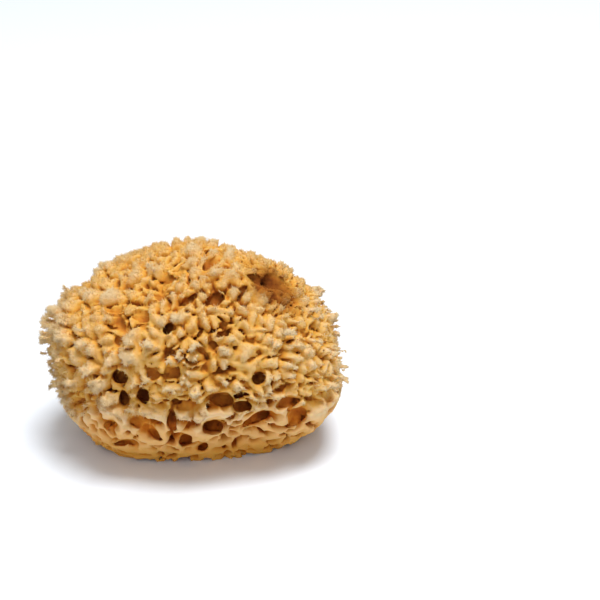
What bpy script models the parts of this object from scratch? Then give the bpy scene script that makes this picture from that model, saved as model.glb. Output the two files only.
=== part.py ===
"""A dried sea sponge, one grown piece, resting on its trimmed flat base.

Metres, +Z up. The origin is under the middle of the body, on the base. +X runs to the right and +Y away
from someone who looks at the front. The skin is star-shaped: each direction from the middle of the
body meets it once. Rounded lumps with creases between them cover it, pits and openings sink into it,
and a smoother band runs round the foot.
"""

import itertools
import math

import bmesh
import bpy
import numpy as np

# The body without its lumps: a squarish ellipsoid about its middle, cut flat at the base
WIDTH = 0.1331
DEPTH = 0.1075
HEIGHT_ABOVE_MIDDLE = 0.0486
HEIGHT_BELOW_MIDDLE = 0.0604
MIDDLE = np.array([-0.0011, -0.0006, 0.0434])
SQUARENESS = 2.14

# Where the body swells or is drawn in: the way it faces (degrees round from the front towards +X, and
# degrees up), and how far in metres
SWELLS = {
    "upper_left": (-80, 20, 0.0025),
    "left_shoulder": (-100, 42, -0.0046),
    "left_flank": (-85, -10, -0.0023),
    "left_foot": (-60, -32, -0.0016),
    "crown_left": (-60, 50, -0.0065),
    "crown_right": (50, 55, 0.0033),
    "right_shoulder": (75, 25, -0.0036),
    "right_flank": (60, -10, 0.0077),
    "right_foot": (35, -35, -0.0100),
    "front_right_foot": (10, -48, -0.0028),
    "front_foot": (-20, -45, -0.0052),
    "back_left": (-150, 5, 0.0030),
    "back_right": (140, 30, -0.0035),
}
SWELL_SPREAD = 0.09

# Lumps, one to a cell, and the creases between them
LUMP_SPACING = 0.0088
LUMP_WARP = 0.0018
LUMP_WARP_SPACING = 0.0100
LUMP_UNEVENNESS = 0.0018
CREASE_REACH = 0.0027
CREASE_DEPTH = 0.0036
CREASE_VARIETY = 0.35
CREASE_VARIETY_SPACING = 0.0160

# Pits that sink in from the skin, and how many of the scattered places hold one
PIT_SPACING = 0.0105
PIT_RADIUS = 0.0034
PIT_DEPTH = 0.0080
PIT_SHARE = 0.70
PIT_WARP = 0.0016
PIT_WARP_SPACING = 0.0060

# The smoother band round the foot
FOOT_TOP = 0.030
FOOT_FULL = 0.015
FOOT_CREASE_SHARE = 0.45
FOOT_PIT_GROWTH = 0.35

# The flat place in the middle of the base, left whole
REST_RADIUS = 0.020
BASE_SNAP = 0.0004

# How ragged the openings' edges are
RAGGED_REACH = 0.0007
RAGGED_SPACING = 0.0030
OPENING_NARROWING = 0.45
# The openings are drawn this much wider than they look, so that this coarse skin still shows them
OPENING_GROWTH = 1.2

# The solid's own fineness
DEEPEST = 0.0090
DIRECTIONS = 50000
MARCH_STEP = 0.0004
TRIANGLES = 9800

SEED_LUMP_WARP = 10
SEED_LUMPS = 20
SEED_CREASES = 30
SEED_PIT_WARP = 40
SEED_PITS = 50
SEED_RAGGED = 60

# Where someone looks from: how far above the horizon, and how far to the right, up and back in the view
VIEW_ELEVATION = math.radians(25.0)
EYE_RIGHT = 0.0465
EYE_UP = 0.0592
EYE_BACK = 0.7572

# Openings and furrows seen from there: across and up from the middle of the base, length, width, the
# slant of the length from level, and how deep it goes. Millimetres and degrees.
MARKS = {
    "foot_middle_mouth": (-6.2, -4.9, 6.5, 4.8, 20, 12),
    "foot_middle_slot": (-11.7, 3.6, 4.0, 8.0, 10, 10),
    "foot_eye": (7.0, 1.2, 8.2, 5.0, 10, 13),
    "foot_right_slot": (26.3, 5.2, 10.5, 4.4, 22, 12),
    "foot_right_socket": (45.0, 5.2, 8.0, 6.5, 45, 7),
    "foot_left_bowl": (-27.0, 3.2, 8.5, 5.0, -10, 6),
    "foot_left_slot": (-19.9, -1.9, 7.5, 3.2, -38, 8),
    "foot_far_left_bowl": (-40.7, 1.7, 5.5, 4.5, 30, 5),
    "foot_low_left_slit": (-33.7, -6.3, 8.0, 2.4, 0, 5),
    "band_right_cave": (20.7, 10.3, 7.4, 4.0, 5, 12),
    "band_right_slit": (19.7, 15.7, 6.4, 2.8, 5, 9),
    "band_middle_cave": (10.5, 13.1, 11.0, 4.6, -8, 10),
    "band_middle_hollow": (-5.7, 10.8, 9.5, 5.0, 0, 6),
    "band_left_mouth": (-36.1, 23.3, 6.6, 5.2, -15, 12),
    "band_left_slot": (-34.6, 13.9, 4.2, 6.2, 15, 9),
    "band_left_eye": (-24.5, 15.9, 4.8, 5.4, 0, 11),
    "band_left_notch": (-20.9, 25.5, 5.4, 4.2, 0, 7),
    "band_middle_notch": (-11.7, 25.5, 6.4, 4.4, 0, 7),
    "band_far_right_slit": (41.0, 12.8, 9.0, 4.0, 22, 7),
    "side_right_slot": (59.7, 15.4, 5.5, 4.0, 40, 6),
    "side_right_pore": (27.3, 23.5, 4.8, 4.4, 45, 10),
    "crown_furrow_left": (-17.9, 69.6, 12.5, 4.2, -5, 7),
    "crown_furrow_middle": (4.9, 75.7, 9.0, 4.0, 42, 9),
    "crown_furrow_right": (20.7, 78.3, 10.0, 5.2, -25, 8),
    "crown_furrow_under": (25.8, 69.6, 9.0, 3.2, -20, 9),
    "crown_crater": (36.8, 67.1, 15.0, 6.6, -14, 9),
    "crown_crater_end": (51.1, 64.6, 6.5, 4.6, -20, 7),
    "crown_hollow": (8.0, 59.0, 8.8, 4.4, 10, 9),
    "crown_slit": (-5.2, 59.0, 7.4, 2.6, 30, 8),
    "brow_pore": (-17.7, 61.0, 5.0, 3.0, -15, 8),
    "brow_hollow": (-26.0, 51.5, 7.4, 4.8, -15, 7),
    "brow_left_hollow": (-39.2, 55.5, 6.4, 3.8, 0, 6),
    "brow_middle_pore": (-13.3, 46.3, 4.6, 5.4, 0, 10),
    "brow_right_pore": (45.0, 53.9, 3.8, 4.2, 0, 7),
    "foot_low_pore": (1.9, -8.1, 4.6, 3.4, 10, 6),
    "band_middle_pore": (-10.8, 12.4, 4.4, 3.6, 20, 8),
    "side_low_pore": (36.9, 18.7, 4.4, 3.4, 30, 7),
    "brow_far_right_pore": (49.7, 43.7, 3.8, 3.2, 30, 6),
    "brow_middle_slit": (11.5, 43.3, 5.4, 2.8, 20, 7),
    "brow_low_pore": (6.5, 38.3, 4.2, 3.2, -10, 7),
    "brow_left_pore": (-37.2, 41.0, 4.0, 3.2, 0, 6),
    "crown_left_pore": (-9.9, 72.8, 4.4, 2.8, 10, 6),
    "crown_far_left_pore": (-15.3, 74.6, 4.2, 2.8, -10, 6),
    "side_right_notch": (63.8, 45.6, 6.0, 4.0, 60, 6),
}
MM = 0.001

SPONGE_COLOUR = (0.60, 0.35, 0.115, 1.0)
SPONGE_ROUGHNESS = 0.92

# Values on the lattice that the noise is made from, each way, before it repeats
LATTICE = 32
# How far along a line of sight its way into the body is looked for
SIGHT_REACH = np.arange(0.62, 0.90, 0.0002)


def smooth_step(low, high, value):
    share = np.clip((value - low) / (high - low), 0.0, 1.0)
    return share * share * (3.0 - 2.0 * share)


def waves(points, spacing, seed):
    """Smooth noise from -1 to 1 at each point, from random values on a lattice of this spacing."""
    values = np.random.default_rng(seed).uniform(-1.0, 1.0, (LATTICE,) * 3)
    corner = np.floor(points / spacing).astype(int)
    share = points / spacing - corner
    share = share * share * (3.0 - 2.0 * share)
    total = np.zeros(len(points))
    for step in itertools.product((0, 1), repeat=3):
        i, j, k = ((corner + step) % LATTICE).T
        total += np.prod(np.where(step, share, 1.0 - share), axis=1) * values[i, j, k]
    return total


def warp(points, spacing, reach, seed):
    """The points shifted by smooth noise, up to this reach along each axis."""
    shifts = [waves(points, spacing, seed + axis) for axis in range(3)]
    return points + reach * np.stack(shifts, axis=1)


def scattered_cells(points, spacing, seed):
    """Distance to the nearest scattered centre and to the second nearest, and the nearest's own chance."""
    random = np.random.default_rng(seed)
    place = random.uniform(0.08, 0.92, (LATTICE, LATTICE, LATTICE, 3))
    chance = random.uniform(0.0, 1.0, (LATTICE,) * 3)
    scaled = points / spacing
    home = np.floor(scaled).astype(int)
    nearest = np.full(len(points), 9.0)
    second = nearest.copy()
    own = np.zeros(len(points))
    for step in itertools.product((-1, 0, 1), repeat=3):
        cell = home + step
        i, j, k = (cell % LATTICE).T
        distance = np.linalg.norm(scaled - cell - place[i, j, k], axis=1)
        closer = distance < nearest
        second = np.where(closer, nearest, np.minimum(second, distance))
        own = np.where(closer, chance[i, j, k], own)
        nearest = np.where(closer, distance, nearest)
    return nearest * spacing, second * spacing, own


def facing(round_deg, up_deg):
    """The unit vector that faces this far round from the front, towards +X, and this far up."""
    turn, rise = math.radians(round_deg), math.radians(up_deg)
    flat = math.cos(rise)
    return np.array([math.sin(turn) * flat, -math.cos(turn) * flat, math.sin(rise)])


def body_reach(directions):
    """How far the body's smooth envelope lies from its middle in each direction."""
    x, y, z = directions.T
    plan = np.hypot(x / (WIDTH / 2), y / (DEPTH / 2))
    rise = np.abs(z) / np.where(z > 0, HEIGHT_ABOVE_MIDDLE, HEIGHT_BELOW_MIDDLE)
    reach = (plan**SQUARENESS + rise**SQUARENESS) ** (-1.0 / SQUARENESS)
    for round_deg, up_deg, swell in SWELLS.values():
        aside = 1.0 - directions @ facing(round_deg, up_deg)
        reach += swell * np.exp(-aside / SWELL_SPREAD)
    return reach


def foot_share(points):
    """1 in the band round the foot, 0 above it."""
    return 1.0 - smooth_step(FOOT_FULL, FOOT_TOP, points[:, 2])


def lumpy_reach(directions):
    """How far the skin of the lumps lies from the middle in each direction."""
    reach = body_reach(directions)
    skin = MIDDLE + directions * reach[:, None]
    foot = foot_share(skin)
    warped = warp(skin, LUMP_WARP_SPACING, LUMP_WARP, SEED_LUMP_WARP)
    nearest, second, own = scattered_cells(warped, LUMP_SPACING, SEED_LUMPS)
    from_crease = np.clip((second - nearest) / (2.0 * CREASE_REACH), 0.0, 1.0)
    crease = CREASE_DEPTH * (1.0 + CREASE_VARIETY * waves(skin, CREASE_VARIETY_SPACING, SEED_CREASES))
    crease *= 1.0 - (1.0 - FOOT_CREASE_SHARE) * foot
    level = crease * (1.0 - from_crease) ** 2
    level += LUMP_UNEVENNESS * (own - 0.5) * (1.0 - foot)
    return reach - level


def view_axes():
    """Unit vectors across the view, up it, and from the eye into it."""
    across = np.array([1.0, 0.0, 0.0])
    up = np.array([0.0, math.sin(VIEW_ELEVATION), math.cos(VIEW_ELEVATION)])
    into = np.array([0.0, math.cos(VIEW_ELEVATION), -math.sin(VIEW_ELEVATION)])
    return across, up, into


def seen_at(right, rise):
    """The place on the envelope that shows this far across and up from the middle of the base, in mm."""
    across, up, into = view_axes()
    eye = EYE_RIGHT * across + EYE_UP * up - EYE_BACK * into
    sight = MM * (right * across + rise * up) - eye
    sight /= np.linalg.norm(sight)
    places = eye + SIGHT_REACH[:, None] * sight
    offset = places - MIDDLE
    far = np.linalg.norm(offset, axis=1)
    inside = (body_reach(offset / far[:, None]) > far) & (places[:, 2] > 0.0)
    return places[np.argmax(inside)]


def mark_frames():
    """For each mark: its mouth on the envelope, the way in, the directions of its mouth and its size."""
    across, up, into = view_axes()
    frames = []
    for right, rise, length, width, slant, deep in MARKS.values():
        mouth = seen_at(right, rise)
        inward = (MIDDLE - mouth) / np.linalg.norm(MIDDLE - mouth)
        way = inward + into
        way /= np.linalg.norm(way)
        angle = math.radians(slant)
        long_way = math.cos(angle) * across + math.sin(angle) * up
        short_way = math.cos(angle) * up - math.sin(angle) * across
        half_length = MM * OPENING_GROWTH * length / 2
        half_width = MM * OPENING_GROWTH * width / 2
        frames.append((mouth, way, long_way, short_way, half_length, half_width, MM * deep))
    return frames


def marks_void(points, frames):
    """Over 0 inside a mark's opening, in metres from its wall, roughly."""
    void = np.full(len(points), -1.0)
    for mouth, way, long_way, short_way, half_length, half_width, deep in frames:
        offset = points - mouth
        inward = offset @ way
        near = np.abs(inward) < deep + half_length
        close = offset[near]
        narrowing = 1.0 - OPENING_NARROWING * np.clip(inward[near] / deep, 0.0, 1.0)
        along = close @ long_way / half_length
        beside = close @ short_way / half_width
        rim = np.sqrt(along**2 + beside**2) / narrowing
        side = (1.0 - rim) * min(half_length, half_width)
        void[near] = np.maximum(void[near], np.minimum(side, deep - inward[near]))
    return void


def pits_void(points, depth):
    """Over 0 inside a pit, in metres from its wall; depth is how far below the envelope a point lies."""
    warped = warp(points, PIT_WARP_SPACING, PIT_WARP, SEED_PIT_WARP)
    nearest, second, own = scattered_cells(warped, PIT_SPACING, SEED_PITS)
    size = PIT_RADIUS * (1.0 + FOOT_PIT_GROWTH * foot_share(points)) * (0.7 + 0.6 * own / PIT_SHARE)
    size *= 1.0 - smooth_step(0.5 * PIT_DEPTH, PIT_DEPTH, depth)
    return np.where(own < PIT_SHARE, size - nearest, -1.0)


def sunk_reach(directions, start):
    """The skin after the pits and openings: from the start inwards until nothing is open."""
    frames = mark_frames()
    envelope = body_reach(directions)
    found = start.copy()
    still_open = np.ones(len(directions), bool)
    for step in np.arange(0.0, DEEPEST, MARCH_STEP):
        way = directions[still_open]
        far = start[still_open] - step
        points = MIDDLE + way * far[:, None]
        ragged = warp(points, RAGGED_SPACING, RAGGED_REACH, SEED_RAGGED)
        depth = envelope[still_open] - far
        void = np.maximum(marks_void(ragged, frames), pits_void(points, depth))
        found[still_open] = far
        still_open[np.flatnonzero(still_open)[void <= 0.0]] = False
    return found


def directions_all_round(count):
    """Evenly spread unit vectors, on a spiral from pole to pole."""
    step = np.arange(count) + 0.5
    height = 1.0 - 2.0 * step / count
    turn = step * math.pi * (3.0 - math.sqrt(5.0))
    flat = np.sqrt(1.0 - height**2)
    return np.stack([flat * np.cos(turn), flat * np.sin(turn), height], axis=1)


def base_reach(directions):
    """How far the base lies from the middle in each direction that meets it, and very far in others."""
    down = np.maximum(-directions[:, 2], 1e-6)
    return MIDDLE[2] / down


def smoothed(values, edges):
    """Each vertex's value, half its own and half its neighbours' mean."""
    ends = edges.ravel()
    others = edges[:, ::-1].ravel()
    total = np.bincount(ends, values[others], len(values))
    return 0.5 * values + 0.5 * total / np.bincount(ends, minlength=len(values))


def skin_points(directions, edges):
    """The solid's vertices, one in each direction from the middle."""
    lumps = smoothed(lumpy_reach(directions), edges)
    to_base = base_reach(directions)
    start = np.minimum(lumps, to_base)
    points = MIDDLE + directions * sunk_reach(directions, start)[:, None]
    on_base = MIDDLE + directions * to_base[:, None]
    rest = (to_base <= lumps) & (np.hypot(on_base[:, 0], on_base[:, 1]) < REST_RADIUS)
    points[rest] = on_base[rest]
    return points


def skin_mesh():
    """The solid at full fineness, joined up as the directions' own convex hull is."""
    shape = bmesh.new()
    for direction in directions_all_round(DIRECTIONS):
        shape.verts.new(direction)
    bmesh.ops.convex_hull(shape, input=shape.verts)
    loose = [vertex for vertex in shape.verts if not vertex.link_faces]
    bmesh.ops.delete(shape, geom=loose, context="VERTS")
    shape.verts.index_update()
    directions = np.array([vertex.co.normalized() for vertex in shape.verts])
    edges = np.array([[vertex.index for vertex in edge.verts] for edge in shape.edges])
    for vertex, point in zip(shape.verts, skin_points(directions, edges), strict=True):
        vertex.co = point
    bmesh.ops.recalc_face_normals(shape, faces=shape.faces)
    mesh = bpy.data.meshes.new("sponge_skin")
    shape.to_mesh(mesh)
    shape.free()
    return mesh


def with_fewer_faces(mesh):
    """The same skin in about this many triangles, kept finest where it bends most."""
    fine = bpy.data.objects.new("sponge_fine", mesh)
    bpy.context.scene.collection.objects.link(fine)
    thin = fine.modifiers.new("fewer_faces", "DECIMATE")
    thin.ratio = TRIANGLES / len(mesh.polygons)
    graph = bpy.context.evaluated_depsgraph_get()
    coarse = bpy.data.meshes.new_from_object(fine.evaluated_get(graph))
    bpy.data.objects.remove(fine)
    return coarse


def settle_on_base(mesh):
    """Makes the base exactly flat, and puts the origin under the middle of the body."""
    flat = np.empty(3 * len(mesh.vertices))
    mesh.vertices.foreach_get("co", flat)
    points = flat.reshape(-1, 3)
    points[points[:, 2] < BASE_SNAP, 2] = 0.0
    points[:, :2] -= (points.min(axis=0) + points.max(axis=0))[:2] / 2
    mesh.vertices.foreach_set("co", points.ravel())
    mesh.update()


def sponge_material():
    material = bpy.data.materials.new("dry_sponge")
    material.use_nodes = True
    surface = material.node_tree.nodes["Principled BSDF"]
    surface.inputs["Base Color"].default_value = SPONGE_COLOUR
    surface.inputs["Roughness"].default_value = SPONGE_ROUGHNESS
    surface.inputs["Metallic"].default_value = 0.0
    return material


def build():
    mesh = with_fewer_faces(skin_mesh())
    settle_on_base(mesh)
    mesh.materials.append(sponge_material())
    sponge = bpy.data.objects.new("sponge", mesh)
    bpy.context.scene.collection.objects.link(sponge)


for old in list(bpy.data.objects):
    bpy.data.objects.remove(old)
build()
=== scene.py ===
"""The finished look of a dried sea sponge, on a plain white floor in soft light.

Metres, +Z up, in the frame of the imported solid. The sponge's flesh is a field: over 0 inside it and under
0 outside. Lobes stand on a core and holes run in between them; a web with smooth holes takes their place
round the foot and under it. The field's skin becomes one mesh, which stands for the solid. Two more meshes
of spikes grow from it: teeth, which make the edges of the lobes ragged, and finer hairs.

Noise is told apart by its seed, which is the last number of each call.
"""

import itertools
import math

import bpy
import numpy as np
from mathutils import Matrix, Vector


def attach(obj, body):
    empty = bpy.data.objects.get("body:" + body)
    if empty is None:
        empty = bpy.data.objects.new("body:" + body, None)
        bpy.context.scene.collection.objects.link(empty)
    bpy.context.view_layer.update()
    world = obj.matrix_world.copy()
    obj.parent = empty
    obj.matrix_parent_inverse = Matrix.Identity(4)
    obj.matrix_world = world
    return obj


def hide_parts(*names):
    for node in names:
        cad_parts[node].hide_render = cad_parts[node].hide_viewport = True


MM = 0.001

# The body without its lobes: a squarish ellipsoid about its middle, cut flat at the base
WIDTH = 0.1331
DEPTH = 0.1075
HEIGHT_ABOVE_MIDDLE = 0.0486
HEIGHT_BELOW_MIDDLE = 0.0604
MIDDLE = np.array([-0.0011, -0.0006, 0.0434])
SQUARENESS = 2.14

# Where the body swells or is drawn in: the way it faces (degrees round from the front towards +X, and
# degrees up), and how far in metres
SWELLS = {
    "upper_left": (-80, 20, 0.0025),
    "left_shoulder": (-100, 42, -0.0046),
    "left_flank": (-85, -10, -0.0023),
    "left_foot": (-60, -32, -0.0016),
    "crown_left": (-60, 50, -0.0065),
    "crown_right": (50, 55, 0.0033),
    "right_shoulder": (75, 25, -0.0036),
    "right_flank": (60, -10, 0.0077),
    "right_foot": (35, -35, -0.0100),
    "front_right_foot": (10, -48, -0.0028),
    "front_foot": (-20, -45, -0.0052),
    "back_left": (-150, 5, 0.0030),
    "back_right": (140, 30, -0.0035),
}
SWELL_SPREAD = 0.09

# Where someone looks from: how far above the horizon, and how far to the right, up and back in the view
VIEW_ELEVATION = math.radians(25.0)
EYE_RIGHT = 0.0465
EYE_UP = 0.0592
EYE_BACK = 0.7572

# Openings and furrows seen from there: across and up from the middle of the base, length, width, the
# slant of the length from level, and how deep it goes. Millimetres and degrees.
MARKS = {
    "foot_middle_mouth": (-6.2, -4.9, 6.5, 4.8, 20, 12),
    "foot_middle_slot": (-11.7, 3.6, 4.0, 8.0, 10, 10),
    "foot_eye": (7.0, 1.2, 8.2, 5.0, 10, 13),
    "foot_right_slot": (26.3, 5.2, 10.5, 4.4, 22, 12),
    "foot_right_socket": (45.0, 5.2, 8.0, 6.5, 45, 7),
    "foot_left_bowl": (-27.0, 3.2, 8.5, 5.0, -10, 6),
    "foot_left_slot": (-19.9, -1.9, 7.5, 3.2, -38, 8),
    "foot_far_left_bowl": (-40.7, 1.7, 5.5, 4.5, 30, 5),
    "foot_low_left_slit": (-33.7, -6.3, 8.0, 2.4, 0, 5),
    "band_right_cave": (20.7, 10.3, 7.4, 4.0, 5, 12),
    "band_right_slit": (19.7, 15.7, 6.4, 2.8, 5, 9),
    "band_middle_cave": (10.5, 13.1, 11.0, 4.6, -8, 10),
    "band_middle_hollow": (-5.7, 10.8, 9.5, 5.0, 0, 6),
    "band_left_mouth": (-36.1, 23.3, 6.6, 5.2, -15, 12),
    "band_left_slot": (-34.6, 13.9, 4.2, 6.2, 15, 9),
    "band_left_eye": (-24.5, 15.9, 4.8, 5.4, 0, 11),
    "band_left_notch": (-20.9, 25.5, 5.4, 4.2, 0, 7),
    "band_middle_notch": (-11.7, 25.5, 6.4, 4.4, 0, 7),
    "band_far_right_slit": (41.0, 12.8, 9.0, 4.0, 22, 7),
    "side_right_slot": (59.7, 15.4, 5.5, 4.0, 40, 6),
    "side_right_pore": (27.3, 23.5, 4.8, 4.4, 45, 10),
    "crown_furrow_left": (-17.9, 69.6, 12.5, 4.2, -5, 7),
    "crown_furrow_middle": (4.9, 75.7, 9.0, 4.0, 42, 9),
    "crown_furrow_right": (20.7, 78.3, 10.0, 5.2, -25, 8),
    "crown_furrow_under": (25.8, 69.6, 9.0, 3.2, -20, 9),
    "crown_crater": (36.8, 67.1, 15.0, 6.6, -14, 9),
    "crown_crater_end": (51.1, 64.6, 6.5, 4.6, -20, 7),
    "crown_hollow": (8.0, 59.0, 8.8, 4.4, 10, 9),
    "crown_slit": (-5.2, 59.0, 7.4, 2.6, 30, 8),
    "brow_pore": (-17.7, 61.0, 5.0, 3.0, -15, 8),
    "brow_hollow": (-26.0, 51.5, 7.4, 4.8, -15, 7),
    "brow_left_hollow": (-39.2, 55.5, 6.4, 3.8, 0, 6),
    "brow_middle_pore": (-13.3, 46.3, 4.6, 5.4, 0, 10),
    "brow_right_pore": (45.0, 53.9, 3.8, 4.2, 0, 7),
    "foot_low_pore": (1.9, -8.1, 4.6, 3.4, 10, 6),
    "band_middle_pore": (-10.8, 12.4, 4.4, 3.6, 20, 8),
    "side_low_pore": (36.9, 18.7, 4.4, 3.4, 30, 7),
    "brow_far_right_pore": (49.7, 43.7, 3.8, 3.2, 30, 6),
    "brow_middle_slit": (11.5, 43.3, 5.4, 2.8, 20, 7),
    "brow_low_pore": (6.5, 38.3, 4.2, 3.2, -10, 7),
    "brow_left_pore": (-37.2, 41.0, 4.0, 3.2, 0, 6),
    "crown_left_pore": (-9.9, 72.8, 4.4, 2.8, 10, 6),
    "crown_far_left_pore": (-15.3, 74.6, 4.2, 2.8, -10, 6),
    "side_right_notch": (63.8, 45.6, 6.0, 4.0, 60, 6),
}

# How much wider an opening is at its mouth, and how fast that fades inward; what its size and its depth
# are multiplied by; the distances from the eye that are tried; and how its edge is made ragged
OPENING_FLARE = 0.65
FLARE_DEPTH = 0.0020
OPENING_GROWTH = 1.1
OPENING_DEEPENING = 1.25
SIGHT_REACH = np.arange(0.62, 0.90, 0.0002)
RAGGED_COARSE = (0.0075, 0.0012)
RAGGED_FINE = (0.003, 0.0009)

# The grid that the field is worked out on, and the band at the envelope and the base where it has detail
STEP = 0.00062
GRID_LOW = (-0.0715, -0.0590, -3.5 * STEP)
GRID_HIGH = (0.0715, 0.0590, 0.0935)
WELL_AWAY = 0.001
OUTSIDE_BAND = 0.0045
INSIDE_BAND = 0.0125
BASE_BAND = 0.0085

# Lobes in each region: how far apart their middles are; half the width of the gap between two; how deep
# the gaps reach; and how far a lobe's top falls away one spacing from its middle
LOBES = {
    "left": (0.0070, 0.00066, 0.0066, 0.0060),
    "middle": (0.0060, 0.00050, 0.0066, 0.0056),
    "right": (0.0052, 0.00040, 0.0058, 0.0056),
}

# Lobes are squeezed in height by the last of these three, so they are wider than high
LOBE_SHAPE = np.array([0.92, 0.92, 1.25], np.float32)

# How far the highest tops stand out from the envelope, and how much lower others are
TOP_LIFT = 0.0028
UNEVEN_TOPS = 0.0018

# From where to where along X one region gives way to the next, and how far that edge wanders
LEFT_EDGE = (-0.034, -0.012)
RIGHT_EDGE = (0.020, 0.040)
EDGE_DRIFT = 0.006

# How much the gaps' width, the gaps' depth and the holes where lobes meet change from place to place
GAP_VARIETY = 1.3
DEPTH_VARIETY = 0.50
HOLE_VARIETY = 1.0

# Holes where three lobes meet, and the small lumps on each lobe, which fade with depth
MEETING_HOLE = 0.00060
MEETING_DEPTH = 0.0085
LUMP_SPACING = 0.0024
LUMP_DEPTH = 0.0014
LUMP_FADE = 0.006

# How much the pattern changes on the way in: at 0 each gap and hole would run straight inward
DRAWN_OUT = 0.30

# What bends the pattern: the spacing of each noise, how far it shifts things, and its seed
BENDS = ((0.0100, 0.0026, 10), (0.0040, 0.0013, 14), (0.0016, 0.0005, 18))

# Fine unevenness of the flesh: gentle waves, and creases that are deepest near the lobes' tops
RIPPLE = 0.0005
CREASE = 0.0004
CREST_CREASE = 0.0013
CREST_DEPTHS = (0.0005, 0.0034)
HEAVES = ((0.0010, 0.016, 40), (0.0008, 0.007, 44))

# What a step of a bump's strength is worth in metres of flesh, and how sharply bumps meet
METRES_PER_LEVEL = 0.0040
CREASE_POWER = 3

# How much flesh is added deep inside, in steps of strength, so that the holes end there
CORE_LEVELS = 2.2
PIT_FLOOR_LEVELS = 2.0

# The web round the foot: the height where it ends and where it is whole, how far that wanders, and how
# much lower it ends at the two sides
FOOT_TOP = 0.0400
FOOT_FULL = 0.0345
FOOT_DRIFT = 0.008
LEFT_FOOT_DROP = 0.014
RIGHT_FOOT_DROP = 0.006

# The web's holes, how far its skin sinks towards them, where they end, and its small pits
HOLE_SPACING = 0.0056
HOLE_SPREAD = 0.0026
HOLE_LEVEL = 0.44
FUNNEL_DEPTH = 0.0022
HOLES_END = 0.0066
PIT_SPACING = 0.0034
PIT_SPREAD = 0.0015
PIT_LEVEL = 0.56
PIT_DEEP = 0.0032

# Level folds low round the foot, and the holes in the underside
FOLD_SPACING = 0.0020
FOLD_REACH = 0.0007
FOLD_LENGTHENING = 0.22
FOLD_TOP = 0.013
BASE_HOLE_SPACING = 0.0047
BASE_HOLE_SPREAD = 0.0020
BASE_CORE_START = 0.0015
BASE_CORE_FULL = 0.0080

# How the lobes give way to the web where the foot begins, in metres of flesh
HANDOVER = 0.0020

# The rays that feel how open a place is: how many, how far they start off the skin, and where they stop
RAYS = 40
RAY_LIFT = 0.0009
RAY_STOPS = (0.0004, 0.0012, 0.0022, 0.0034, 0.0048, 0.0066, 0.0090)
LEAST_LEAN = 0.1

# The brown stain round the crater, where it shows and how far it spreads
STAIN = (37.0, 69.5)
STAIN_SPREAD = 0.0150

# How open a place has to be for spikes, how high above the base, and the share that grows anywhere there
SPIKE_OPENNESS = (0.74, 0.95)
SPIKE_HEIGHTS = (0.002, 0.006)
SPIKE_SHARE = 0.05

# Teeth at the edges of the lobes, and finer hairs: how many, and their lengths and widths
TEETH = 46000
TOOTH_LENGTHS = (0.0005, 0.0015)
TOOTH_WIDTHS = (0.00040, 0.00080)
HAIRS = 32000
HAIR_LENGTHS = (0.0010, 0.0030)
HAIR_WIDTHS = (0.00018, 0.00034)
ROOT_SINK = 0.0003
ROOT_SHADE = 0.8
TOOTH_SPREAD = 0.45
HAIR_SPREAD = 0.6
SPIKE_BEND = 0.35
OUTWARD_PULL = 0.5
SHORT_ONES = 1.5

# Hairs are scarce but for the left side, from the first of these places along X on, and the crown
HAIR_EVERYWHERE = 0.15
HAIR_LEFT = (0.0, -0.045)
HAIR_CROWN = (0.06, 0.09)
CROWN_HAIR_SHARE = 0.8

# The size of the lattices of random values, a place out of the way, and the most triangles in the body
LATTICE = 56
OUT_OF_THE_WAY = 9.0
TRIANGLES = 198000

# The colour of the flesh by how open a place is: the free skin's own colour at 1, and below it painted
# shade in the holes and gaps, darker and redder the less open a place is. The two ends come first,
# because a new ramp has two stops already
FLESH_AND_HOLE_SHADE_COLOURS = (
    (0.0, (0.14, 0.032, 0.005, 1.0)),
    (1.0, (0.70, 0.54, 0.33, 1.0)),
    (0.08, (0.41, 0.135, 0.015, 1.0)),
    (0.22, (0.57, 0.240, 0.028, 1.0)),
    (0.42, (0.62, 0.33, 0.058, 1.0)),
    (0.60, (0.65, 0.40, 0.130, 1.0)),
    (0.76, (0.66, 0.45, 0.200, 1.0)),
)

# Tops of lobes are paler, down to this depth, partly the fibre tips' own paler colour and partly a
# painted highlight; they are palest at the right, and high up, where the painted light from above is
# strongest
TIP_AND_HIGHLIGHT_COLOUR = (0.70, 0.57, 0.36, 1.0)
TIP_AND_HIGHLIGHT_SHARE = 0.75
TIP_DEPTH = 0.0044
PALE_ANYWHERE = 0.45
PALE_RIGHT = 0.25
HIGHLIGHT_HIGH_UP = 0.45

# Painted shade: how much less open a place counts on the flanks of lobes, deep in the gaps, and on
# flanks in the stain, where it is partly the stain's own darker brown and partly painted shade,
# with the depths between which each comes in
FLANK_PAINTED_SHADE = 0.36
FLANK_DEPTHS = (0.0014, 0.0042)
DEEP_PAINTED_SHADE = 0.72
DEEP_DEPTHS = (0.0040, 0.0085)
STAIN_AND_SHADE_DARKENING = 0.55

# What the foot's and the stain's colours are multiplied by, and by how much of it. The foot's tint goes
# on as the foot's colour and, lowest down between the last two heights, also as painted shade near the
# floor
FOOT_AND_LOW_SHADE_TINT = (0.94, 0.50, 0.00, 1.0)
FOOT_AND_LOW_SHADE_TINT_SHARE = 0.85
STAIN_TINT = (0.44, 0.31, 0.22, 1.0)
STAIN_TINT_SHARE = 0.9
FOOT_COLOUR_ENDS = (FOOT_FULL - 0.014, FOOT_TOP + 0.004)
LOW_SHADE_SHARE = 0.3
LOW_SHADE_HEIGHTS = (0.004, 0.018)

# The flesh lets light through a little, most of it red, and its colour and grain are slightly uneven
SOFTNESS = 0.5
SOFT_REACH = (1.0, 0.55, 0.20)
SOFT_SCALE = 0.0012
MOTTLE_SCALE = 300.0
MOTTLE_REACH = 0.22
GRAIN_SCALE = 800.0
GRAIN_STRENGTH = 0.4
GRAIN_HEIGHT = 0.0005

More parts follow.
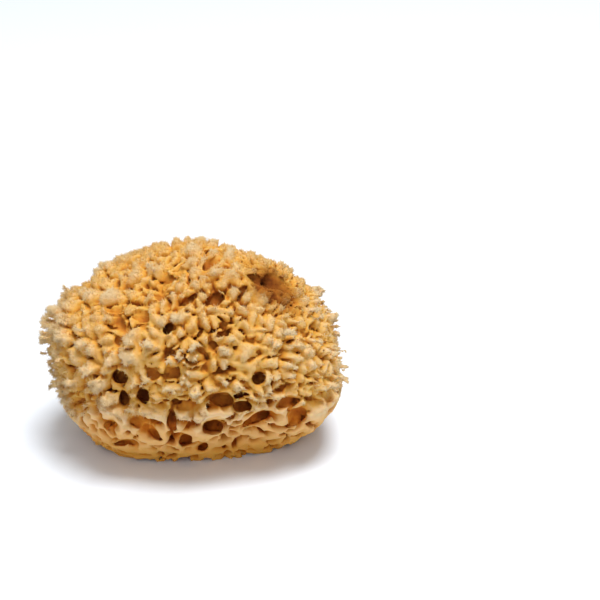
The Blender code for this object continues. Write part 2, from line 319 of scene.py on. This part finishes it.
# The studio: a floor pale enough to show white, even light all round, and two square lamps, each with its
# side in metres, its power in watts and its place. They aim at the middle of the base
# The floor's blue tint paints out the warm light that the sponge throws onto it, so its shadow shows grey
FLOOR_COLOUR = (0.85, 0.90, 0.97, 1.0)
FLOOR_SIZE = 6.0
WORLD_STRENGTH = 0.36
LAMPS = {
    "overhead": (0.9, 41.0, (0.28, -0.10, 1.94)),
    "front": (1.2, 8.0, (-0.1, -1.6, 1.1)),
}
LENS_MM = 100.0
SENSOR_MM = 36.0

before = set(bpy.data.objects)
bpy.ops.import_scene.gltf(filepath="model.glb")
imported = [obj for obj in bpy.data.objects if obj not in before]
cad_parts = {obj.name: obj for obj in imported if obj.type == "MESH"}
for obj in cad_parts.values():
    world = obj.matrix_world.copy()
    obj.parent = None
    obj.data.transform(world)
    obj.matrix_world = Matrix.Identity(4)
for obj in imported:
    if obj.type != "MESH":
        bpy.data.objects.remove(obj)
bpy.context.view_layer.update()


def smooth_step(low, high, value):
    share = np.clip((value - low) / (high - low), 0.0, 1.0)
    return share * share * (3.0 - 2.0 * share)


def waves(points, spacing, seed):
    """Smooth noise from -1 to 1 at each point, from random values on a lattice of this spacing."""
    values = np.random.default_rng(seed).uniform(-1.0, 1.0, (LATTICE,) * 3).astype(np.float32)
    scaled = points / spacing
    corner = np.floor(scaled).astype(np.int32)
    share = scaled - corner
    share = share * share * (3.0 - 2.0 * share)
    total = np.zeros(len(points), np.float32)
    for step in itertools.product((0, 1), repeat=3):
        i, j, k = ((corner + np.array(step, np.int32)) % LATTICE).T
        weight = np.ones(len(points), np.float32)
        for axis, side in enumerate(step):
            weight *= share[:, axis] if side else 1.0 - share[:, axis]
        total += weight * values[i, j, k]
    return total


def warp(points, spacing, reach, seed):
    """The points shifted by smooth noise, up to this reach along each axis."""
    shifts = [waves(points, spacing, seed + axis) for axis in range(3)]
    return points + np.float32(reach) * np.stack(shifts, axis=1)


def scattered_bumps(points, spacing, spread, seed):
    """Soft round bumps, one to each cell of a jittered lattice, joined with creases between them."""
    random = np.random.default_rng(seed)
    place = random.uniform(0.12, 0.88, (LATTICE, LATTICE, LATTICE, 3)).astype(np.float32)
    strength = random.uniform(0.70, 1.30, (LATTICE,) * 3).astype(np.float32) ** CREASE_POWER
    scaled = points / np.float32(spacing)
    home = np.floor(scaled).astype(np.int32)
    sharpness = np.float32(CREASE_POWER * (spacing / spread) ** 2)
    total = np.zeros(len(points), np.float32)
    for step in itertools.product((-1, 0, 1), repeat=3):
        cell = home + np.array(step, np.int32)
        i, j, k = (cell % LATTICE).T
        offset = scaled - cell - place[i, j, k]
        total += strength[i, j, k] * np.exp(-sharpness * np.einsum("ij,ij->i", offset, offset))
    return total ** np.float32(1.0 / CREASE_POWER)


def facing(round_deg, up_deg):
    """The unit vector that faces this far round from the front, towards +X, and this far up."""
    turn, rise = math.radians(round_deg), math.radians(up_deg)
    flat = math.cos(rise)
    return np.array([math.sin(turn) * flat, -math.cos(turn) * flat, math.sin(rise)])


def body_reach(directions):
    """How far the body's smooth envelope lies from its middle in each direction."""
    x, y, z = directions.T
    plan = np.hypot(x / (WIDTH / 2), y / (DEPTH / 2))
    rise = np.abs(z) / np.where(z > 0, HEIGHT_ABOVE_MIDDLE, HEIGHT_BELOW_MIDDLE)
    reach = (plan**SQUARENESS + rise**SQUARENESS) ** (-1.0 / SQUARENESS)
    for round_deg, up_deg, swell in SWELLS.values():
        aside = 1.0 - directions @ facing(round_deg, up_deg).astype(directions.dtype)
        reach += swell * np.exp(-aside / SWELL_SPREAD)
    return reach


def lobe_middles(spacing, seed):
    """Places scattered over the envelope, one to each cell of a lattice that the envelope runs through."""
    random = np.random.default_rng(seed)
    jitter = random.uniform(0.05, 0.95, (LATTICE, LATTICE, LATTICE, 3))
    index = np.stack(np.meshgrid(*[np.arange(LATTICE)] * 3, indexing="ij"), axis=-1)
    offset = ((index - LATTICE // 2 + jitter) * spacing - MIDDLE).reshape(-1, 3)
    far = np.linalg.norm(offset, axis=1)
    reach = body_reach(offset / far[:, None])
    places = MIDDLE + offset * (reach / far)[:, None]
    places[np.abs(reach - far) > spacing / 2] = OUT_OF_THE_WAY
    return places.reshape(LATTICE, LATTICE, LATTICE, 3).astype(np.float32)


def nearest_three(points, spacing, seed):
    """How far the three nearest lobe middles are, and a value from 0 to 1 that is the nearest's own."""
    places = lobe_middles(spacing, seed)
    values = np.random.default_rng(seed + 100).uniform(0.0, 1.0, (LATTICE,) * 3).astype(np.float32)
    home = np.floor(points / np.float32(spacing)).astype(np.int32) + LATTICE // 2
    first = np.full(len(points), 1.0, np.float32)
    second, third = first.copy(), first.copy()
    own = np.zeros(len(points), np.float32)
    for step in itertools.product((-1, 0, 1), repeat=3):
        i, j, k = np.clip(home + np.array(step, np.int32), 0, LATTICE - 1).T
        offset = (points - places[i, j, k]) * LOBE_SHAPE
        away = np.einsum("ij,ij->i", offset, offset)
        own = np.where(away < first, values[i, j, k], own)
        third = np.minimum(third, np.maximum(away, second))
        second = np.minimum(second, np.maximum(away, first))
        first = np.minimum(first, away)
    return np.sqrt(first), np.sqrt(second), np.sqrt(third), own


def view_axes():
    """Unit vectors across the view, up it, and from the eye into it."""
    across = np.array([1.0, 0.0, 0.0])
    up = np.array([0.0, math.sin(VIEW_ELEVATION), math.cos(VIEW_ELEVATION)])
    into = np.array([0.0, math.cos(VIEW_ELEVATION), -math.sin(VIEW_ELEVATION)])
    return across, up, into


def eye():
    across, up, into = view_axes()
    return EYE_RIGHT * across + EYE_UP * up - EYE_BACK * into


def seen_at(right, rise):
    """The place on the envelope that shows this far across and up from the middle of the base, in mm."""
    across, up, into = view_axes()
    sight = MM * (right * across + rise * up) - eye()
    sight /= np.linalg.norm(sight)
    places = eye() + SIGHT_REACH[:, None] * sight
    offset = places - MIDDLE
    far = np.linalg.norm(offset, axis=1)
    inside = (body_reach(offset / far[:, None]) > far) & (places[:, 2] > 0.0)
    return places[np.argmax(inside)]


def mark_frames():
    """For each mark: its mouth on the envelope, the way in, the directions of its mouth and its size."""
    across, up, into = view_axes()
    frames = []
    for right, rise, length, width, slant, deep in MARKS.values():
        mouth = seen_at(right, rise)
        inward = (MIDDLE - mouth) / np.linalg.norm(MIDDLE - mouth)
        way = inward + into
        way /= np.linalg.norm(way)
        angle = math.radians(slant)
        long_way = math.cos(angle) * across + math.sin(angle) * up
        short_way = math.cos(angle) * up - math.sin(angle) * across
        half_length = MM * OPENING_GROWTH * length / 2
        half_width = MM * OPENING_GROWTH * width / 2
        reach = MM * OPENING_DEEPENING * deep
        frames.append((mouth, way, long_way, short_way, half_length, half_width, reach))
    return frames


def marks_void(points, frames):
    """Over 0 inside a mark's opening, in metres from its wall, roughly."""
    void = np.full(len(points), -1.0, np.float32)
    for mouth, way, long_way, short_way, half_length, half_width, deep in frames:
        near = np.flatnonzero(np.linalg.norm(points - mouth, axis=1) < deep + half_length)
        close = points[near] - mouth
        inward = close @ way
        flare = 1.0 + OPENING_FLARE * np.exp(-np.clip(inward, 0.0, None) / FLARE_DEPTH)
        along = close @ long_way / half_length
        beside = close @ short_way / half_width
        rim = np.sqrt(along**2 + beside**2) / flare
        side = (1.0 - rim) * min(half_length, half_width)
        void[near] = np.maximum(void[near], np.minimum(side, deep - inward))
    return void


def foot_rise(points):
    """How high each place counts for where the foot ends: the foot ends lower at the two sides."""
    left = smooth_step(-0.030, -0.055, points[:, 0])
    right = smooth_step(0.042, 0.060, points[:, 0])
    drift = FOOT_DRIFT * waves(points, 0.013, 4)
    return points[:, 2] + drift + LEFT_FOOT_DROP * left + RIGHT_FOOT_DROP * right


def region_shares(skin):
    """How much each place on the envelope belongs to each region of lobes, and to the foot."""
    drift = EDGE_DRIFT * waves(skin, 0.012, 3)
    left = 1.0 - smooth_step(*LEFT_EDGE, skin[:, 0] + drift)
    right = smooth_step(*RIGHT_EDGE, skin[:, 0] + drift)
    foot = 1.0 - smooth_step(FOOT_FULL, FOOT_TOP, foot_rise(skin))
    return {"left": left, "middle": 1.0 - left - right, "right": right}, foot


def lobe_flesh(depth, skin, pattern, shares):
    """The flesh of the lobes, in metres from its skin, roughly: they close up where the gaps end."""
    gap_change = 1.0 + GAP_VARIETY * waves(skin, 0.0075, 5)
    depth_change = 1.0 + DEPTH_VARIETY * waves(skin, 0.0090, 6)
    hole_change = 1.0 + HOLE_VARIETY * waves(skin, 0.0060, 7)
    solid = np.zeros(len(depth), np.float32)
    for seed, (region, (spacing, gap, deep, fall)) in enumerate(LOBES.items()):
        used = np.flatnonzero(shares[region] > 0.0)
        first, second, third, own = nearest_three(pattern[used], spacing, 20 + seed)
        sunk = depth[used] + TOP_LIFT - UNEVEN_TOPS * own * own - fall * (first / spacing) ** 2
        down = depth[used] / (deep * depth_change[used])
        half_gap = gap * gap_change[used] * (1.0 - down**2)
        flesh_here = np.minimum((second - first) / 2 - half_gap, sunk)
        hole = MEETING_HOLE * hole_change[used] * (1.0 - (depth[used] / MEETING_DEPTH) ** 2)
        flesh_here = np.minimum(flesh_here, (third - first) / 2 - hole)
        solid[used] += shares[region][used] * flesh_here
    first = nearest_three(pattern, LUMP_SPACING, 28)[0]
    valley = np.clip(2.0 * first / LUMP_SPACING, 0.0, 1.2) ** 2
    return solid - LUMP_DEPTH * valley * (1.0 - smooth_step(0.0, LUMP_FADE, depth))


def web_flesh(depth, pattern):
    """The flesh of the web round the foot, with deep holes and shallow pits in it."""
    core = CORE_LEVELS * smooth_step(HOLES_END, INSIDE_BAND, depth)
    holes = scattered_bumps(pattern, HOLE_SPACING, HOLE_SPREAD, 30)
    web = (HOLE_LEVEL - holes + core) * METRES_PER_LEVEL
    web = np.minimum(web, depth - FUNNEL_DEPTH * np.clip(holes / HOLE_LEVEL, 0.0, 1.0) ** 2)
    pits = scattered_bumps(pattern, PIT_SPACING, PIT_SPREAD, 34)
    floor = PIT_FLOOR_LEVELS * smooth_step(0.0, PIT_DEEP, depth)
    return np.minimum(web, (PIT_LEVEL - pits + floor) * METRES_PER_LEVEL)


def folds(points):
    """Level folds low round the foot."""
    bent = warp(points, 0.0060, 0.0014, 82)
    stretched = bent * np.array([FOLD_LENGTHENING, FOLD_LENGTHENING, 1.0], np.float32)
    share = 1.0 - smooth_step(0.4 * FOLD_TOP, FOLD_TOP, points[:, 2])
    return FOLD_REACH * share * waves(stretched, FOLD_SPACING, 80)


def flesh(points, depth, skin):
    """Over 0 inside the sponge's flesh, in metres from its skin, roughly, at points near the envelope."""
    pattern = skin + (points - skin) * np.float32(DRAWN_OUT)
    for spacing, reach, seed in BENDS:
        pattern = warp(pattern, spacing, reach, seed)

    shares, foot = region_shares(skin)
    solid = np.full(len(points), 1.0, np.float32)
    above = np.flatnonzero(foot < 1.0)
    close = {region: share[above] for region, share in shares.items()}
    lobes = lobe_flesh(depth[above], skin[above], pattern[above], close)
    solid[above] = lobes + HANDOVER * foot[above]
    below = np.flatnonzero(foot > 0.0)
    web = web_flesh(depth[below], pattern[below])
    solid[below] = np.minimum(solid[below], web + HANDOVER * (1.0 - foot[below]))

    solid += RIPPLE * waves(points, 0.0026, 50)
    crest = (1.0 - 0.8 * foot) * (1.0 - smooth_step(*CREST_DEPTHS, depth))
    solid -= (CREASE + CREST_CREASE * crest) * np.abs(waves(points, 0.0015, 51))
    heave = sum(height * waves(skin, spacing, seed) for height, spacing, seed in HEAVES)
    solid = np.minimum(solid, depth + heave + folds(points) + TOP_LIFT * (1.0 - foot))

    near_base = np.flatnonzero(points[:, 2] < BASE_BAND)
    base_points = points[near_base] * np.array([1.0, 1.0, DRAWN_OUT], np.float32)
    base_points = warp(base_points, 0.003, 0.0008, 70)
    base_holes = scattered_bumps(base_points, BASE_HOLE_SPACING, BASE_HOLE_SPREAD, 72)
    base_core = CORE_LEVELS * smooth_step(BASE_CORE_START, BASE_CORE_FULL, points[near_base, 2])
    base_flesh = (HOLE_LEVEL - base_holes + base_core) * METRES_PER_LEVEL
    solid[near_base] = np.minimum(solid[near_base], base_flesh)

    ragged = warp(warp(points, *RAGGED_COARSE, 64), *RAGGED_FINE, 60)
    return np.minimum(solid, -marks_void(ragged, mark_frames()))


def field_grid():
    """The grid's corner, and the field on it, with one steady value deep inside and another well outside."""
    low = np.array(GRID_LOW)
    high = np.array(GRID_HIGH)
    counts = np.ceil((high - low) / STEP).astype(int)
    axes = [low[axis] + STEP * np.arange(counts[axis]) for axis in range(3)]
    grid = np.stack(np.meshgrid(*axes, indexing="ij"), axis=-1).astype(np.float32).reshape(-1, 3)
    offset = grid - MIDDLE.astype(np.float32)
    far = np.maximum(np.linalg.norm(offset, axis=1), 1e-6)
    directions = offset / far[:, None]
    reach = body_reach(directions).astype(np.float32)
    depth = reach - far
    field = np.where(depth > 0.0, WELL_AWAY, -WELL_AWAY).astype(np.float32)
    near = (depth < INSIDE_BAND) | (grid[:, 2] < BASE_BAND)
    band = np.flatnonzero(near & (depth > -OUTSIDE_BAND) & (grid[:, 2] > -STEP))
    skin = MIDDLE.astype(np.float32) + directions[band] * reach[band][:, None]
    field[band] = flesh(grid[band], depth[band], skin)
    field = np.minimum(field, grid[:, 2])
    return low, field.reshape(tuple(counts))


def surface_nets(low, field):
    """The field's zero skin as vertices and four-sided faces."""
    inside = field > 0.0
    shape = np.array(field.shape) - 1
    count = np.zeros(tuple(shape), np.int8)
    for step in itertools.product((0, 1), repeat=3):
        part = tuple(slice(s, s + n) for s, n in zip(step, shape))
        count += inside[part]
    cells = np.argwhere((count > 0) & (count < 8))
    number = np.full(tuple(shape), -1, np.int32)
    number[tuple(cells.T)] = np.arange(len(cells))
    total = np.zeros((len(cells), 3), np.float32)
    crossings = np.zeros(len(cells), np.float32)
    for axis in range(3):
        others = [a for a in range(3) if a != axis]
        for step in itertools.product((0, 1), repeat=2):
            start = np.zeros(3, int)
            start[others] = step
            end = start.copy()
            end[axis] = 1
            first = field[tuple((cells + start).T)]
            second = field[tuple((cells + end).T)]
            crossed = (first > 0.0) != (second > 0.0)
            share = np.where(crossed, first / np.where(crossed, first - second, 1.0), 0.0)
            place = start + share[:, None] * (end - start)
            total += np.where(crossed[:, None], place, 0.0)
            crossings += crossed
    points = low + STEP * (cells + total / crossings[:, None])

    faces = []
    for axis in range(3):
        one, two = (axis + 1) % 3, (axis + 2) % 3
        first = np.moveaxis(inside, axis, 0)[:-1]
        second = np.moveaxis(inside, axis, 0)[1:]
        flip = np.moveaxis(first != second, 0, axis)
        crossed = np.argwhere(flip)
        keep = (crossed[:, one] > 0) & (crossed[:, two] > 0)
        keep &= (crossed[:, one] < shape[one]) & (crossed[:, two] < shape[two])
        crossed = crossed[keep]
        corners = []
        for back_one, back_two in ((1, 1), (0, 1), (0, 0), (1, 0)):
            cell = crossed.copy()
            cell[:, one] -= back_one
            cell[:, two] -= back_two
            corners.append(number[tuple(cell.T)])
        quads = np.stack(corners, axis=1)
        backwards = ~inside[tuple(crossed.T)]
        quads[backwards] = quads[backwards][:, ::-1]
        faces.append(quads)
    return points, np.concatenate(faces)


def largest_piece(points, faces):
    """The vertices and faces of the one skin that has most vertices, without loose bits and sealed caves."""
    label = np.arange(len(points))
    while True:
        lowest = label[faces].min(axis=1)
        before = label.copy()
        for corner in range(4):
            np.minimum.at(label, faces[:, corner], lowest)
        label = label[label]
        if np.array_equal(label, before):
            break
    biggest = np.bincount(label).argmax()
    kept = label == biggest
    number = np.cumsum(kept) - 1
    return points[kept], number[faces[kept[faces[:, 0]]]]


def new_mesh(name, points, faces):
    mesh = bpy.data.meshes.new(name)
    mesh.vertices.add(len(points))
    mesh.vertices.foreach_set("co", points.astype(np.float32).ravel())
    mesh.loops.add(faces.size)
    mesh.loops.foreach_set("vertex_index", faces.astype(np.int32).ravel())
    mesh.polygons.add(len(faces))
    mesh.polygons.foreach_set("loop_start", np.arange(0, faces.size, faces.shape[1], dtype=np.int32))
    mesh.update(calc_edges=True)
    return mesh


def thinned(mesh, triangles):
    """The same skin in about this many triangles, kept finest where it bends most."""
    fine = bpy.data.objects.new("sponge_fine", mesh)
    bpy.context.scene.collection.objects.link(fine)
    thin = fine.modifiers.new("fewer_faces", "DECIMATE")
    thin.ratio = triangles / (2 * len(mesh.polygons))
    graph = bpy.context.evaluated_depsgraph_get()
    coarse = bpy.data.meshes.new_from_object(fine.evaluated_get(graph))
    bpy.data.objects.remove(fine)
    return coarse


def openness(points, normals, low, field):
    """How much of the way out is free at each point, from 0 to 1, felt along rays through the field."""
    inside = field > 0.0
    top = np.array(field.shape) - 1
    free = np.zeros(len(points))
    total = np.zeros(len(points))
    for ray in directions_all_round(RAYS):
        lean = normals @ ray
        seen = lean > LEAST_LEAN
        blocked = np.zeros(len(points), bool)
        for travel in RAY_STOPS:
            spot = points + normals * RAY_LIFT + travel * ray
            i, j, k = np.clip(np.rint((spot - low) / STEP), 0, top).astype(int).T
            blocked |= inside[i, j, k]
        free += np.where(seen & ~blocked, lean, 0.0)
        total += np.where(seen, lean, 0.0)
    return free / np.maximum(total, 1e-6)


def directions_all_round(count):
    """Evenly spread unit vectors, on a spiral from pole to pole."""
    step = np.arange(count) + 0.5
    height = 1.0 - 2.0 * step / count
    turn = step * math.pi * (3.0 - math.sqrt(5.0))
    flat = np.sqrt(1.0 - height**2)
    return np.stack([flat * np.cos(turn), flat * np.sin(turn), height], axis=1)


def vertex_values(mesh):
    """Each vertex's place and normal."""
    places = np.empty(3 * len(mesh.vertices), np.float32)
    normals = places.copy()
    mesh.vertices.foreach_get("co", places)
    mesh.vertex_normals.foreach_get("vector", normals)
    return places.reshape(-1, 3), normals.reshape(-1, 3)


def add_values(mesh, name, values):
    attribute = mesh.attributes.new(name, "FLOAT", "POINT")
    attribute.data.foreach_set("value", values.astype(np.float32))


def place_values(points):
    """What the colours need to know of each place: how deep, how pale with a painted highlight, in the foot
    or low down in painted shade near the floor, and in the stain.
    """
    offset = points - MIDDLE
    far = np.linalg.norm(offset, axis=1)
    depth = body_reach(offset / far[:, None]) - far
    foot = 1.0 - smooth_step(*FOOT_COLOUR_ENDS, foot_rise(points))
    # Painted shade near the floor, lowest down
    low = 1.0 - smooth_step(*LOW_SHADE_HEIGHTS, points[:, 2])
    tip = 1.0 - np.clip(depth / TIP_DEPTH, 0.0, 1.0)
    # Painted highlight, stronger high up where the light from above falls
    high = smooth_step(0.045, 0.085, points[:, 2])
    rightward = smooth_step(-0.045, 0.0, points[:, 0])
    centre = seen_at(*STAIN)
    aside = np.linalg.norm(points - centre, axis=1) + 0.004 * waves(points, 0.006, 90)
    return {
        "depth": depth,
        "pale_and_highlight_share": np.clip(tip * (PALE_ANYWHERE + PALE_RIGHT * rightward + HIGHLIGHT_HIGH_UP * high), 0.0, 1.0),
        "foot_and_low_shade_share": (1.0 - LOW_SHADE_SHARE) * foot + LOW_SHADE_SHARE * low,
        "stain_share": np.exp(-((aside / STAIN_SPREAD) ** 4)),
    }


def blended(nodes, links, kind, share, colour, tint):
    """The colour with this much of a fixed tint mixed in or multiplied on, whichever the kind says."""
    mix = nodes.new("ShaderNodeMix")
    mix.data_type = "RGBA"
    mix.blend_type = kind
    first, second = [socket for socket in mix.inputs if socket.type == "RGBA"]
    links.new(share, mix.inputs["Factor"])
    links.new(colour, first)
    second.default_value = tint
    return next(socket for socket in mix.outputs if socket.type == "RGBA")


def scaled_value(nodes, links, source, factor, shift=0.0):
    """The source times the factor plus the shift."""
    node = nodes.new("ShaderNodeMath")
    node.operation = "MULTIPLY_ADD"
    links.new(source, node.inputs[0])
    node.inputs[1].default_value = factor
    node.inputs[2].default_value = shift
    return node.outputs["Value"]


def sponge_material():
    material = bpy.data.materials.new("sponge")
    material.use_nodes = True
    nodes, links = material.node_tree.nodes, material.node_tree.links
    surface = nodes["Principled BSDF"]
    surface.inputs["Roughness"].default_value = 0.9
    surface.inputs["Specular IOR Level"].default_value = 0.15
    surface.inputs["Subsurface Radius"].default_value = SOFT_REACH
    surface.inputs["Subsurface Scale"].default_value = SOFT_SCALE
    values = {}
    for name in ("open_share", "pale_and_highlight_share", "foot_and_low_shade_share", "stain_share", "soft_share"):
        node = nodes.new("ShaderNodeAttribute")
        node.attribute_name = name
        values[name] = node.outputs["Fac"]
    place = nodes.new("ShaderNodeTexCoord").outputs["Object"]
    softness = scaled_value(nodes, links, values["soft_share"], SOFTNESS)
    links.new(softness, surface.inputs["Subsurface Weight"])

    mottle = nodes.new("ShaderNodeTexNoise")
    mottle.inputs["Scale"].default_value = MOTTLE_SCALE
    mottle.inputs["Detail"].default_value = 4.0
    links.new(place, mottle.inputs["Vector"])
    unevenness = scaled_value(nodes, links, mottle.outputs["Fac"], MOTTLE_REACH, -MOTTLE_REACH / 2)
    patchy = nodes.new("ShaderNodeMath")
    patchy.operation = "ADD"
    links.new(values["open_share"], patchy.inputs[0])
    links.new(unevenness, patchy.inputs[1])

    # Painted shade: the less open a place is, the darker and redder its colour, up to the free skin's own
    ramp = nodes.new("ShaderNodeValToRGB")
    for index, (stop, colour) in enumerate(FLESH_AND_HOLE_SHADE_COLOURS):
        element = ramp.color_ramp.elements[index] if index < 2 else ramp.color_ramp.elements.new(stop)
        element.position = stop
        element.color = colour
    links.new(patchy.outputs["Value"], ramp.inputs["Fac"])

    # Paler tops of lobes: partly the tips' own paler colour, partly a painted highlight
    pale = scaled_value(nodes, links, values["pale_and_highlight_share"], TIP_AND_HIGHLIGHT_SHARE)
    colour = blended(nodes, links, "MIX", pale, ramp.outputs["Color"], TIP_AND_HIGHLIGHT_COLOUR)
    # The foot's colour, with painted shade near the floor lowest down, and the stain's brown, multiplied on
    for name, most, tint in (
        ("foot_and_low_shade_share", FOOT_AND_LOW_SHADE_TINT_SHARE, FOOT_AND_LOW_SHADE_TINT),
        ("stain_share", STAIN_TINT_SHARE, STAIN_TINT),
    ):
        share = scaled_value(nodes, links, values[name], most)
        colour = blended(nodes, links, "MULTIPLY", share, colour, tint)
    links.new(colour, surface.inputs["Base Color"])

    grain = nodes.new("ShaderNodeTexNoise")
    grain.inputs["Scale"].default_value = GRAIN_SCALE
    grain.inputs["Detail"].default_value = 2.0
    links.new(place, grain.inputs["Vector"])
    bump = nodes.new("ShaderNodeBump")
    bump.inputs["Strength"].default_value = GRAIN_STRENGTH
    bump.inputs["Distance"].default_value = GRAIN_HEIGHT
    links.new(grain.outputs["Fac"], bump.inputs["Height"])
    links.new(bump.outputs["Normal"], surface.inputs["Normal"])
    return material


def scattered_roots(mesh, places, normals, weights, count, seed):
    """Places on the mesh's skin, more of them where weights are high, the normals there and a corner near."""
    mesh.calc_loop_triangles()
    corners = np.empty(3 * len(mesh.loop_triangles), np.int32)
    mesh.loop_triangles.foreach_get("vertices", corners)
    corners = corners.reshape(-1, 3)
    sides = places[corners[:, 1:]] - places[corners[:, :1]]
    areas = np.linalg.norm(np.cross(sides[:, 0], sides[:, 1]), axis=1)
    chances = areas * weights[corners].mean(axis=1)
    random = np.random.default_rng(seed)
    chosen = random.choice(len(corners), count, p=chances / chances.sum())
    shares = random.dirichlet((1.0, 1.0, 1.0), count)
    spots = np.einsum("ij,ijk->ik", shares, places[corners[chosen]])
    ways = np.einsum("ij,ijk->ik", shares, normals[corners[chosen]])
    return spots, ways, corners[chosen, 0]


def spikes(name, roots, ways, lengths, widths, seed):
    """One mesh of three-sided spikes with closed feet: the foot's three corners come first, then the tip."""
    random = np.random.default_rng(seed)
    ways = ways / np.linalg.norm(ways, axis=1)[:, None]
    aside = np.cross(ways, random.normal(size=ways.shape))
    aside /= np.linalg.norm(aside, axis=1)[:, None]
    other = np.cross(ways, aside)
    bend = random.uniform(-SPIKE_BEND, SPIKE_BEND, len(roots))[:, None] * aside
    corners = []
    for turn in (0.0, 2.0 * math.pi / 3.0, 4.0 * math.pi / 3.0):
        spoke = math.cos(turn) * aside + math.sin(turn) * other
        corners.append(roots + 0.5 * widths[:, None] * spoke)
    corners.append(roots + lengths[:, None] * (ways + bend))
    points = np.stack(corners, axis=1).reshape(-1, 3)
    sides = np.array([(0, 2, 1), (0, 1, 3), (1, 2, 3), (2, 0, 3)])
    faces = sides[None] + 4 * np.arange(len(roots))[:, None, None]
    return new_mesh(name, points, faces.reshape(-1, 3))


def grow(name, body, places, normals, weights, count, lengths, widths, spread, material, seed):
    """Grows spikes from the body's skin as one piece, coloured as the skin is at their roots."""
    roots, ways, nearest = scattered_roots(body, places, normals, weights, count, seed)
    random = np.random.default_rng(seed + 1)
    outwards = roots - MIDDLE
    outwards /= np.linalg.norm(outwards, axis=1)[:, None]
    ways = ways + OUTWARD_PULL * outwards + spread * random.normal(size=ways.shape)
    size = random.uniform(0.0, 1.0, count) ** SHORT_ONES
    long = lengths[0] + (lengths[1] - lengths[0]) * size
    wide = random.uniform(*widths, count)
    sunk = roots - ROOT_SINK * normals[nearest]
    mesh = spikes(name, sunk, ways, long, wide, seed + 2)
    as_is = np.ones(4)
    rising = np.array([ROOT_SHADE, ROOT_SHADE, ROOT_SHADE, 1.0])
    for value_name, along in (
        ("open_share", rising),
        ("pale_and_highlight_share", rising),
        ("foot_and_low_shade_share", as_is),
        ("stain_share", as_is),
    ):
        values = np.empty(len(places), np.float32)
        body.attributes[value_name].data.foreach_get("value", values)
        add_values(mesh, value_name, np.outer(values[nearest], along).ravel())
    add_values(mesh, "soft_share", np.zeros(4 * count))
    mesh.materials.append(material)
    piece = bpy.data.objects.new(name, mesh)
    piece.visible_shadow = False
    bpy.context.scene.collection.objects.link(piece)
    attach(piece, "root")


def build_sponge():
    low, field = field_grid()
    points, faces = largest_piece(*surface_nets(low, field))
    mesh = thinned(new_mesh("sponge_body", points, faces), TRIANGLES)
    mesh.shade_smooth()
    places, normals = vertex_values(mesh)
    # How open each place is, which paints shade into the colour of holes and gaps
    open_share = openness(places, normals, low, field)
    values = place_values(places)
    # Painted shade on the flanks of lobes and deep in the gaps; on flanks in the stain, partly the stain too
    flank_share = smooth_step(*FLANK_DEPTHS, values["depth"])
    deep_share = smooth_step(*DEEP_DEPTHS, values.pop("depth"))
    shade = (1.0 - FLANK_PAINTED_SHADE * flank_share) * (1.0 - DEEP_PAINTED_SHADE * deep_share)
    shade *= 1.0 - STAIN_AND_SHADE_DARKENING * values["stain_share"] * flank_share
    values["open_share"] = open_share * shade
    values["soft_share"] = np.ones(len(places))
    for name, value in values.items():
        add_values(mesh, name, value)
    material = sponge_material()
    mesh.materials.append(material)
    sponge = bpy.data.objects.new("sponge_body", mesh)
    bpy.context.scene.collection.objects.link(sponge)
    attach(sponge, "root")
    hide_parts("sponge")

    clear = smooth_step(*SPIKE_HEIGHTS, places[:, 2]) * smooth_step(*SPIKE_OPENNESS, open_share)
    above_foot = smooth_step(FOOT_FULL - 0.002, FOOT_TOP + 0.002, foot_rise(places))
    toothy = clear * above_foot * (SPIKE_SHARE + values["pale_and_highlight_share"])
    crown = CROWN_HAIR_SHARE * smooth_step(*HAIR_CROWN, places[:, 2])
    hairy = toothy * (HAIR_EVERYWHERE + smooth_step(*HAIR_LEFT, places[:, 0]) + crown)
    skin = (mesh, places, normals)
    grow("sponge_teeth", *skin, toothy, TEETH, TOOTH_LENGTHS, TOOTH_WIDTHS, TOOTH_SPREAD, material, 100)
    grow("sponge_hairs", *skin, hairy, HAIRS, HAIR_LENGTHS, HAIR_WIDTHS, HAIR_SPREAD, material, 110)


def build_stage():
    bpy.ops.mesh.primitive_plane_add(size=FLOOR_SIZE, location=(0.0, 0.0, 0.0))
    floor = bpy.context.object
    floor.name = "floor"
    material = bpy.data.materials.new("floor")
    material.use_nodes = True
    surface = material.node_tree.nodes["Principled BSDF"]
    surface.inputs["Base Color"].default_value = FLOOR_COLOUR
    surface.inputs["Roughness"].default_value = 0.9
    floor.data.materials.append(material)

    world = bpy.data.worlds.new("studio")
    world.use_nodes = True
    world.node_tree.nodes["Background"].inputs["Color"].default_value = (1.0, 1.0, 1.0, 1.0)
    world.node_tree.nodes["Background"].inputs["Strength"].default_value = WORLD_STRENGTH
    bpy.context.scene.world = world

    for name, (size, energy, place) in LAMPS.items():
        lamp = bpy.data.lights.new(name, "AREA")
        lamp.size = size
        lamp.energy = energy
        light = bpy.data.objects.new(name, lamp)
        light.location = place
        light.rotation_euler = Vector(place).to_track_quat("Z", "Y").to_euler()
        bpy.context.scene.collection.objects.link(light)


def build_camera():
    data = bpy.data.cameras.new("camera")
    data.lens = LENS_MM
    data.sensor_width = SENSOR_MM
    camera = bpy.data.objects.new("camera", data)
    camera.location = eye()
    camera.rotation_euler = (math.radians(90) - VIEW_ELEVATION, 0.0, 0.0)
    bpy.context.scene.collection.objects.link(camera)
    bpy.context.scene.camera = camera


build_sponge()
build_stage()
build_camera()
bpy.context.scene.view_settings.view_transform = "Standard"
